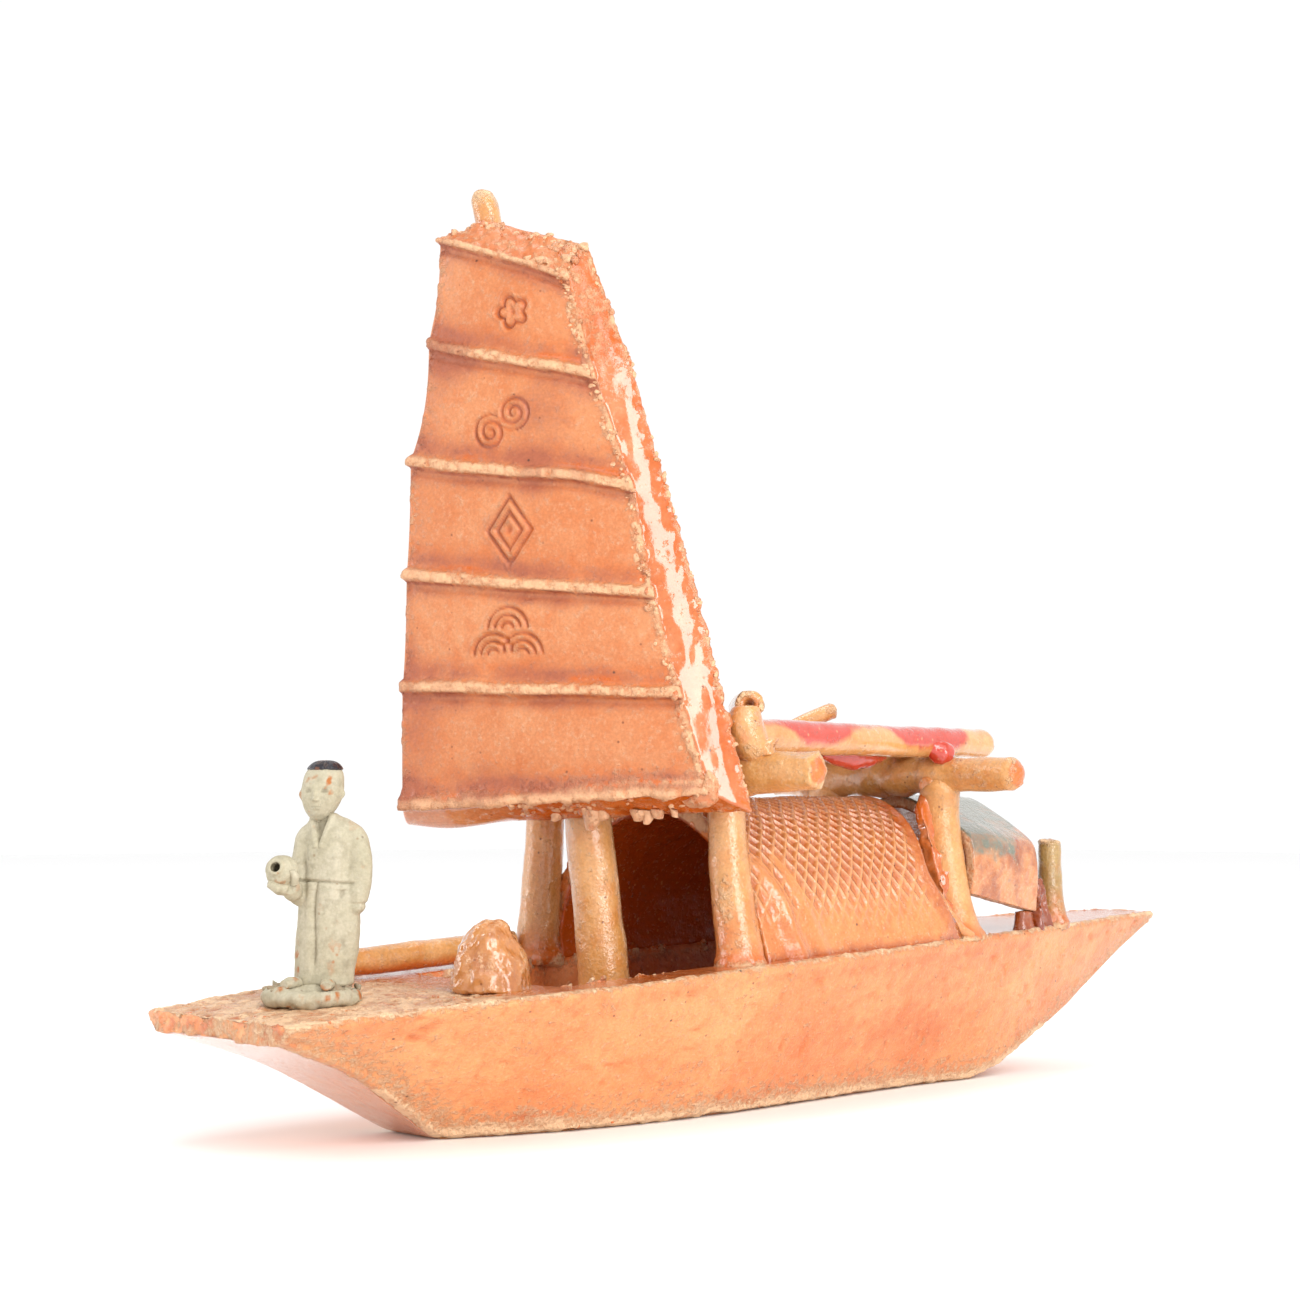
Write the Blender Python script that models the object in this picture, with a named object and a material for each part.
"""Glazed pottery junk with a batten sail, a mat-roofed cabin and a boatman on the foredeck.

Metres, +Z up, +X towards the bow, +Y to port. The hull stands on z = 0 and the origin is under mid-length.
The tables hold millimetres, which MM turns into metres.
"""

import math

import bmesh
import bpy
from mathutils import Matrix, Vector

MM = 0.001
GAP = 0.3  # clear space between two pieces that the glaze joins, mm

# Driving dimensions, mm
HULL_LENGTH = 140.0
BOTTOM_FORE, BOTTOM_AFT = 47.1, -32.4
WELL_FORE, WELL_AFT, WELL_HALF, WELL_FLOOR = 37.5, -21.6, 11.9, 5.4
ROOF_WALL, ROOF_HALF, ROOF_CROWN = 1.8, 13.9, 33.9
AFT_ROOF_CROWN, AFT_ROOF_WALL = 34.5, 1.6
SAIL_CORNER = (21.9, 15.7)  # foot of the leech, x and y
SAIL_TURN = 28.0  # degrees from +X to the sail's normal
FIGURE_AT, FIGURE_TURN = (59.0, 0.0), -52.0
ROUND_SIDES, SMALL_SIDES = 16, 12


def deck_z(x):
    """Sheer of the deck: it rises from the bow to the stern."""
    t = 2 * x / HULL_LENGTH
    return 16.80 - 2.74 * t - 0.76 * t**2 - 0.34 * t**3


def deck_half(x):
    """Half-beam of the deck, widest ahead of mid-length and narrow at the stern."""
    t = 2 * x / HULL_LENGTH
    return 16.73 + 6.40 * t - 7.98 * t**2 - 2.74 * t**3


def bottom_half(x):
    middle, reach = (BOTTOM_FORE + BOTTOM_AFT) / 2, (BOTTOM_FORE - BOTTOM_AFT) / 2
    t = (x - middle) / reach
    return 9.32 + 3.79 * t - 4.03 * t**2 - 4.34 * t**3


# Columns: x, z of the underside, from the flat bottom up to each end
BOW_PLATE = [(47.1, 0.0), (52.9, 3.5), (58.6, 6.9), (62.0, 8.4), (66.0, 9.8), (70.0, 11.2)]
STERN_PLATE = [
    (-70.0, 17.6),
    (-63.0, 14.2),
    (-57.7, 11.3),
    (-51.2, 7.6),
    (-45.4, 4.8),
    (-40.4, 2.5),
    (-36.3, 0.9),
    (-32.4, 0.0),
]


def material(name, colour, roughness):
    made = bpy.data.materials.new(name)
    made.use_nodes = True
    shader = made.node_tree.nodes["Principled BSDF"]
    shader.inputs["Base Color"].default_value = (*colour, 1.0)
    shader.inputs["Roughness"].default_value = roughness
    shader.inputs["Metallic"].default_value = 0.0
    made.diffuse_color = (*colour, 1.0)
    return made


def place(bm, name, colour, roughness, parent, smooth_angle=35.0):
    """Turns a bmesh in millimetres into a named object with its own material."""
    bmesh.ops.recalc_face_normals(bm, faces=bm.faces)
    bmesh.ops.transform(bm, matrix=Matrix.Scale(MM, 4), verts=bm.verts)
    mesh = bpy.data.meshes.new(name)
    bm.to_mesh(mesh)
    bm.free()
    mesh.shade_smooth()
    mesh.set_sharp_from_angle(angle=math.radians(smooth_angle))
    made = bpy.data.objects.new(name, mesh)
    made.data.materials.append(material(name, colour, roughness))
    made.parent = parent
    bpy.context.scene.collection.objects.link(made)
    return made


def loft(rings):
    """Skin over a row of closed rings, with a flat face at each end."""
    bm = bmesh.new()
    rows = [[bm.verts.new(point) for point in ring] for ring in rings]
    for low, high in zip(rows, rows[1:]):
        for i in range(len(low)):
            j = (i + 1) % len(low)
            bm.faces.new((low[i], low[j], high[j], high[i]))
    bm.faces.new(rows[0][::-1])
    bm.faces.new(rows[-1])
    return bm


def slab(face, back):
    """Solid between two grids of points with the same rows and columns."""
    bm = bmesh.new()
    a = [[bm.verts.new(point) for point in row] for row in face]
    b = [[bm.verts.new(point) for point in row] for row in back]
    last_row, last_column = len(a) - 1, len(a[0]) - 1
    for i in range(last_row):
        for j in range(last_column):
            bm.faces.new((a[i][j], a[i][j + 1], a[i + 1][j + 1], a[i + 1][j]))
            bm.faces.new((b[i][j], b[i + 1][j], b[i + 1][j + 1], b[i][j + 1]))
    for i in range(last_row):
        for j in (0, last_column):
            bm.faces.new((a[i][j], a[i + 1][j], b[i + 1][j], b[i][j]))
    for j in range(last_column):
        for i in (0, last_row):
            bm.faces.new((a[i][j], a[i][j + 1], b[i][j + 1], b[i][j]))
    return bm


def post(rows, sides=ROUND_SIDES, foot=None):
    """Upright piece from rows of x, y, z, radius along X, radius along Y, with level rings."""
    rings = []
    for number, (x, y, z, radius_x, radius_y) in enumerate(rows):
        ring = []
        for i in range(sides):
            angle = 2 * math.pi * i / sides
            px, py = x + radius_x * math.cos(angle), y + radius_y * math.sin(angle)
            on_deck = foot is not None and number == 0
            ring.append((px, py, foot(px) + GAP if on_deck else z))
        rings.append(ring)
    return loft(rings)


def rod(start, end, radius, sides=SMALL_SIDES, taper=1.0, sag=0.0, stations=5):
    """Round bar between two points, with a small chamfer at each end and an even sag."""
    start, end = Vector(start), Vector(end)
    along = (end - start).normalized()
    side = along.cross(Vector((0, 0, 1))).normalized()
    up = side.cross(along)
    length = (end - start).length
    edge = 0.35 * radius / length
    steps = [0.0, edge] + [k / (stations - 1) for k in range(1, stations - 1)] + [1 - edge, 1.0]
    rings = []
    for step in steps:
        centre = start.lerp(end, step) - Vector((0, 0, 4 * sag * step * (1 - step)))
        reach = radius * (1 + (taper - 1) * step) * (0.78 if step in (0.0, 1.0) else 1.0)
        rings.append(
            [
                centre + reach * (math.cos(a) * side + math.sin(a) * up)
                for a in (2 * math.pi * i / sides for i in range(sides))
            ]
        )
    return loft(rings)


def mix(low, high, share):
    return low + (high - low) * share


def table_value(table, x):
    """Straight-line reading of a table of (x, value) pairs in rising x."""
    for (x0, v0), (x1, v1) in zip(table, table[1:]):
        if x <= x1:
            return mix(v0, v1, max(0.0, (x - x0) / (x1 - x0)))
    return table[-1][1]


bpy.context.view_layer.update()
for old in list(bpy.data.objects):
    bpy.data.objects.remove(old, do_unlink=True)

boat = bpy.data.objects.new("boat", None)
bpy.context.scene.collection.objects.link(boat)

ORANGE = (0.78, 0.36, 0.16)
TAN = (0.66, 0.42, 0.22)
CRIMSON = (0.58, 0.08, 0.10)
STONE = (0.56, 0.55, 0.44)


def hull_ring(x):
    """Cross-section at x: flat bottom, flared side, narrow deck and, amidships, the well."""
    top, half = deck_z(x), deck_half(x)
    if x > BOTTOM_FORE:
        share = (x - BOTTOM_FORE) / (HULL_LENGTH / 2 - BOTTOM_FORE)
        low = table_value(BOW_PLATE, x)
        bottom = mix(bottom_half(BOTTOM_FORE), deck_half(HULL_LENGTH / 2) - 0.6, share**0.9)
    elif x < BOTTOM_AFT:
        share = (BOTTOM_AFT - x) / (HULL_LENGTH / 2 + BOTTOM_AFT)
        low = table_value(STERN_PLATE, x)
        bottom = mix(bottom_half(BOTTOM_AFT), deck_half(-HULL_LENGTH / 2) - 0.5, share)
    else:
        low, bottom = 0.0, bottom_half(x)
    in_well = WELL_AFT < x < WELL_FORE
    floor = WELL_FLOOR if in_well else top
    floor_half = min(9.2, 0.95 * bottom_half(x)) if in_well else 0.5 * half
    inner = min(WELL_HALF, 0.82 * half)
    # y, z from the keel to the middle of the deck
    side = [
        (bottom - 1.1, low),
        (bottom - 0.1, min(low + 0.35, top - 0.6)),
        (bottom + 0.1, min(low + 0.9, top - 0.55)),
        (mix(bottom, half, 0.52), mix(low, top, 0.5)),
        (half, top - 0.45),
        (half - 0.45, top),
        (inner, top),
        (floor_half, floor),
    ]
    return [(x, y, z) for y, z in side] + [(x, -y, z) for y, z in reversed(side)]


# The two bulkheads of the well are steep faces 0.2 mm long.
STATIONS = sorted(
    [-HULL_LENGTH / 2, HULL_LENGTH / 2, BOTTOM_AFT, BOTTOM_FORE]
    + [WELL_AFT - 0.1, WELL_AFT + 0.1, WELL_FORE - 0.1, WELL_FORE + 0.1]
    + [-63, -57.7, -51.2, -45.4, -40.4, -36.3, -27, -12, -2, 8, 18, 28, 42, 50, 52.9, 58.6, 62, 66]
)
place(loft([hull_ring(x) for x in STATIONS]), "hull", ORANGE, 0.32, boat)


def deck_at(x):
    """The deck as the hull's faces make it, straight between stations."""
    return table_value([(s, deck_z(s)) for s in STATIONS], x)


# Columns: name, x y of the foot, x y z of the head, radius at foot, radius at head
POSTS = [
    ("front_post_port", 14.1, 13.5, 14.3, 11.1, 33.9, 2.05, 1.95),
    ("front_post_starboard", 19.9, -14.2, 18.9, -13.6, 33.9, 2.05, 1.95),
    ("rear_post_port", -23.5, 11.5, -22.9, 8.9, 34.2, 2.1, 1.9),
    ("rear_post_starboard", -23.2, -11.5, -22.9, -9.0, 34.2, 2.1, 1.9),
    ("stern_post_port", -44.0, 8.5, -43.5, 8.8, 28.9, 1.6, 1.2),
    ("stern_post_starboard", -44.0, -8.5, -43.6, -8.7, 28.5, 1.6, 1.2),
]
for name, foot_x, foot_y, head_x, head_y, head_z, foot_radius, head_radius in POSTS:
    foot_z = deck_at(foot_x)
    rows = []
    for share in (0.0, 0.35, 0.7, 1.0):
        radius = mix(foot_radius, head_radius, share)
        rows.append(
            (
                mix(foot_x, head_x, share),
                mix(foot_y, head_y, share),
                mix(foot_z, head_z, share),
                radius,
                radius,
            )
        )
    place(post(rows, SMALL_SIDES, deck_at), name, TAN, 0.45, boat)

# Columns: x, y, z, radius; the mast stands on the well's floor and bends with the sail
MAST = [
    (21.2, 0.3, WELL_FLOOR + GAP, 2.6),
    (22.4, 0.0, 18.0, 2.45),
    (23.6, -0.6, 31.1, 2.25),
    (25.3, -2.6, 50.0, 1.95),
    (27.4, -5.4, 70.0, 1.72),
    (29.6, -8.7, 90.0, 1.55),
    (30.6, -10.2, 99.4, 1.5),
    (30.8, -10.4, 100.9, 0.95),
]
place(post([(x, y, z, r, r) for x, y, z, r in MAST], SMALL_SIDES), "mast", TAN, 0.5, boat)

# Columns: name, start x y z, end x y z, radius, taper, colour
BARS = [
    ("front_crossbeam", (12.4, 22.1, 36.4), (20.0, -20.2, 36.2), 2.15, 0.96, TAN),
    ("rear_crossbeam", (-23.7, 20.3, 36.7), (-22.7, -18.6, 36.3), 1.95, 0.97, TAN),
    ("rack_pole_1", (16.2, 14.0, 40.5), (-33.6, 6.5, 40.7), 1.75, 0.97, CRIMSON),
    ("rack_pole_2", (16.6, 9.2, 40.5), (-28.4, 2.6, 40.4), 1.6, 1.0, CRIMSON),
    ("rack_pole_3", (17.4, 4.4, 40.6), (-29.2, -1.8, 40.4), 1.7, 0.95, CRIMSON),
    ("rack_pole_4", (18.6, -6.0, 40.5), (-27.8, -8.0, 40.4), 1.6, 1.0, CRIMSON),
    ("rack_pole_5", (19.6, -11.3, 40.5), (-28.6, -12.6, 40.4), 1.65, 0.95, CRIMSON),
    ("top_pole", (15.0, 15.4, 44.1), (0.2, -0.5, 44.1), 1.45, 1.0, TAN),
    ("loose_pole", (-15.2, -1.0, 44.5), (-5.5, -1.95, 40.9), 0.95, 1.0, TAN),
    ("gunwale_spar", (48.8, -13.7, 16.3), (22.6, -15.0, 17.6), 1.45, 1.05, TAN),
]
for name, start, end, radius, taper, colour in BARS:
    place(rod(start, end, radius, taper=taper), name, colour, 0.35, boat)


def arch(half, crown, wall, foot, power, steps=14):
    """Outer and inner halves of a roof section as (y, z) lists from port to starboard."""
    outer, inner = [], []
    for i in range(steps + 1):
        angle = math.pi * i / steps
        c, s = math.cos(angle), math.sin(angle)
        y = math.copysign(abs(c) ** (2 / power), c)
        z = abs(s) ** (2 / power)
        outer.append((half * y, foot + (crown - foot) * z))
        inner.append(((half - wall) * y, foot + (crown - wall - foot) * z))
    return outer, inner


# Share of the roof's height against the x of its two edges: the mat's lower corners reach out aft
ROOF_FORE = [(0.0, 10.8), (0.2, 11.5), (0.5, 12.0), (0.7, 12.6), (0.85, 13.8), (1.0, 14.5)]
ROOF_AFT = [(0.0, -20.8), (0.25, -18.2), (0.5, -16.4), (0.75, -17.5), (1.0, -18.6)]
# On the starboard side the front edge stands further forward
ROOF_FORE_STARBOARD = 4.6

face, back = [], []
for step in range(6):
    face_row, back_row = [], []
    base = deck_z(11.0)
    outer, inner = arch(ROOF_HALF, ROOF_CROWN, ROOF_WALL, base, 2.05)
    for (outer_y, outer_z), (inner_y, inner_z) in zip(outer, inner):
        height = (outer_z - base) / (ROOF_CROWN - base)
        fore = table_value(ROOF_FORE, height)
        if outer_y < 0:
            fore += ROOF_FORE_STARBOARD * (-outer_y / ROOF_HALF) ** 1.5
        x = mix(fore, table_value(ROOF_AFT, height), step / 5)
        lift = (deck_at(x) + GAP - base) * (1 - height)
        face_row.append((x, outer_y, outer_z + lift))
        back_row.append((x, inner_y, inner_z + lift))
    face.append(face_row)
    back.append(back_row)
place(slab(face, back), "front_roof", ORANGE, 0.38, boat)

# Shares of half-width and height round half of the aft roof: upright sides, then a straight pitch
AFT_SECTION = [
    (0.96, 0.0),
    (1.0, 0.3),
    (0.97, 0.57),
    (0.87, 0.65),
    (0.74, 0.71),
    (0.55, 0.80),
    (0.3, 0.91),
    (0.12, 0.98),
]
# Columns: x, half-width, z of the lower edge, crown
AFT_ROOF = [
    (-25.7, 12.5, 22.3, 34.5),
    (-29.8, 12.3, 21.4, 34.5),
    (-34.0, 11.9, 20.6, 34.4),
    (-38.2, 11.4, 19.9, 34.2),
]
face, back = [], []
for x, half, foot, crown in AFT_ROOF:
    section = AFT_SECTION + [(0.0, 1.0)] + [(-y, z) for y, z in reversed(AFT_SECTION)]
    face.append([(x, half * y, mix(foot, crown, z)) for y, z in section])
    inside, under = half - AFT_ROOF_WALL, crown - AFT_ROOF_WALL
    back.append([(x, inside * y, mix(foot, under, z)) for y, z in section])
place(slab(face, back), "aft_roof", (0.52, 0.36, 0.24), 0.3, boat)

# Columns: name, x, y; a lump of clay under each rear corner of the aft roof
BLOCKS = [("roof_block_port", -37.0, 9.9), ("roof_block_starboard", -37.0, -9.9)]
for name, x, y in BLOCKS:
    rows = [(x, y, 0.0, 1.7, 1.2), (x, y, 19.1, 1.5, 1.05), (x, y, 19.75, 1.35, 0.95)]
    place(post(rows, 8, deck_at), name, (0.40, 0.20, 0.10), 0.35, boat)

# Columns: z above the deck, radius, shift along x
MOUND = [
    (0.0, 4.0, 0.0),
    (1.6, 3.75, 0.1),
    (3.4, 3.2, 0.2),
    (5.2, 2.3, 0.25),
    (6.4, 1.35, 0.3),
    (6.9, 0.55, 0.3),
]
mound_x, mound_y = 43.4, 8.0
mound_rows = [(mound_x + dx, mound_y, deck_at(mound_x) + z, r, r) for z, r, dx in MOUND]
place(post(mound_rows, SMALL_SIDES, deck_at), "deck_mound", ORANGE, 0.28, boat)

# Sail. Columns: distance from the leech corner to the leech and z there, the same at the luff,
# all for the front face, then how far the back reaches past it at the leech
SAIL_ROWS = [
    (-0.4, 34.1, 34.4, 32.6, 4.1),
    (2.6, 44.6, 34.5, 45.4, 3.9),
    (5.6, 54.1, 34.1, 57.6, 4.3),
    (8.8, 66.0, 33.7, 70.2, 3.4),
    (11.0, 77.7, 31.6, 82.6, 2.0),
    (14.6, 88.6, 30.2, 93.5, 0.5),
]
SAIL_TOP_RISE, SAIL_FOOT_DROP = 4.4, 1.9
SAIL_THICK_LOW, SAIL_THICK_TOP = 3.3, 2.5
BATTEN_RISE = 0.55
SAIL_BILLOW = 1.2
SAIL_COLUMNS = 7
sail_normal = Vector((math.cos(math.radians(SAIL_TURN)), math.sin(math.radians(SAIL_TURN)), 0))
sail_across = Vector((math.sin(math.radians(SAIL_TURN)), -math.cos(math.radians(SAIL_TURN)), 0))


def sail_point(across, z, out):
    point = Vector((*SAIL_CORNER, 0)) + sail_across * across + sail_normal * out
    return (point.x, point.y, z)


levels = []  # leech, z, luff, z, overreach, rise of the face
for number, (low, high) in enumerate(zip(SAIL_ROWS, SAIL_ROWS[1:])):
    for share, rise in ((0.0, BATTEN_RISE), (0.10, 0.0), (0.5, -0.2), (0.90, -0.35)):
        levels.append([mix(a, b, share) for a, b in zip(low, high)] + [rise])
levels.append([*SAIL_ROWS[-1], BATTEN_RISE])
face, back = [], []
for leech, leech_z, luff, luff_z, overreach, rise in levels:
    face_row, back_row = [], []
    height = (leech_z - SAIL_ROWS[0][1]) / (SAIL_ROWS[-1][1] - SAIL_ROWS[0][1])
    # The back starts lower and ends higher than the front, so that all edges slope.
    stretch = mix(-SAIL_FOOT_DROP, SAIL_TOP_RISE, height)
    thick = mix(SAIL_THICK_LOW, SAIL_THICK_TOP, height)
    for j in range(SAIL_COLUMNS):
        share = j / (SAIL_COLUMNS - 1)
        billow = SAIL_BILLOW * 4 * share * (1 - share)
        across, z = mix(leech, luff, share), mix(leech_z, luff_z, share)
        face_row.append(sail_point(across, z, rise + billow))
        rear = mix(leech - overreach, luff + 0.8, share)
        back_row.append(sail_point(rear, z + stretch, -thick))
    face.append(face_row)
    back.append(back_row)
place(slab(face, back), "sail", ORANGE, 0.35, boat)

# Boatman. The tables are in the figure's own axes: x to its right hand, y forwards, z above its base's top
figure = bpy.data.objects.new("figure", None)
figure.parent = boat
figure.rotation_euler = (0, 0, math.radians(FIGURE_TURN))
base_top = deck_at(FIGURE_AT[0]) + 1.5
figure.location = (FIGURE_AT[0] * MM, FIGURE_AT[1] * MM, base_top * MM)
bpy.context.scene.collection.objects.link(figure)

base_rows = [
    (*FIGURE_AT, 0.0, 4.9, 4.9),
    (*FIGURE_AT, base_top - 0.6, 4.95, 4.95),
    (*FIGURE_AT, base_top, 4.5, 4.5),
]
place(post(base_rows, ROUND_SIDES, deck_at), "figure_base", STONE, 0.7, boat)

# Columns: x, y, z, radius along x, radius along y
BODY = {
    "figure_robe": [
        (-0.8, -0.2, 0.3, 2.6, 1.9),
        (-0.8, -0.2, 3.2, 2.75, 1.95),
        (-0.9, -0.2, 7.0, 2.6, 1.95),
        (-1.0, -0.1, 10.1, 2.35, 1.75),
    ],
    "figure_torso": [
        (-1.1, -0.1, 10.4, 2.4, 1.8),
        (-1.2, -0.1, 12.6, 2.5, 1.85),
        (-1.2, -0.2, 14.6, 2.6, 1.8),
        (-1.1, -0.2, 15.8, 2.2, 1.5),
        (-0.9, -0.1, 16.6, 1.15, 1.1),
    ],
    "figure_head": [
        (-0.8, 0.1, 16.85, 1.0, 1.05),
        (-0.8, 0.25, 17.4, 1.6, 1.75),
        (-0.75, 0.3, 18.5, 1.95, 2.1),
        (-0.7, 0.25, 19.8, 2.05, 2.15),
        (-0.7, 0.2, 20.9, 1.8, 1.95),
    ],
    "figure_hair": [
        (-0.7, 0.1, 21.15, 1.75, 1.9),
        (-0.7, 0.1, 21.6, 1.35, 1.5),
        (-0.7, 0.1, 21.85, 0.6, 0.7),
    ],
}
for name, rows in BODY.items():
    colour = (0.05, 0.05, 0.09) if name == "figure_hair" else STONE
    place(post(rows, SMALL_SIDES), name, colour, 0.7, figure)

# Columns: name, start, end, radius, taper
LIMBS = [
    ("figure_arm_left", (-4.75, -0.3, 14.8), (-4.95, 0.1, 7.8), 0.9, 0.75),
    ("figure_arm_right", (2.45, -0.2, 14.2), (2.75, 0.3, 10.4), 0.85, 0.95),
    ("figure_forearm_right", (2.9, 1.55, 10.1), (1.7, 3.6, 9.9), 0.8, 0.9),
    ("figure_jar", (3.3, 3.75, 11.3), (2.6, 5.2, 11.9), 1.15, 0.75),
    ("figure_shoe_left", (-2.2, 2.2, 0.8), (-2.4, 3.6, 0.75), 0.45, 0.9),
    ("figure_shoe_right", (0.6, 2.2, 0.8), (1.0, 3.6, 0.75), 0.45, 0.9),
]
for name, start, end, radius, taper in LIMBS:
    place(rod(start, end, radius, 10, taper, stations=4), name, STONE, 0.7, figure)
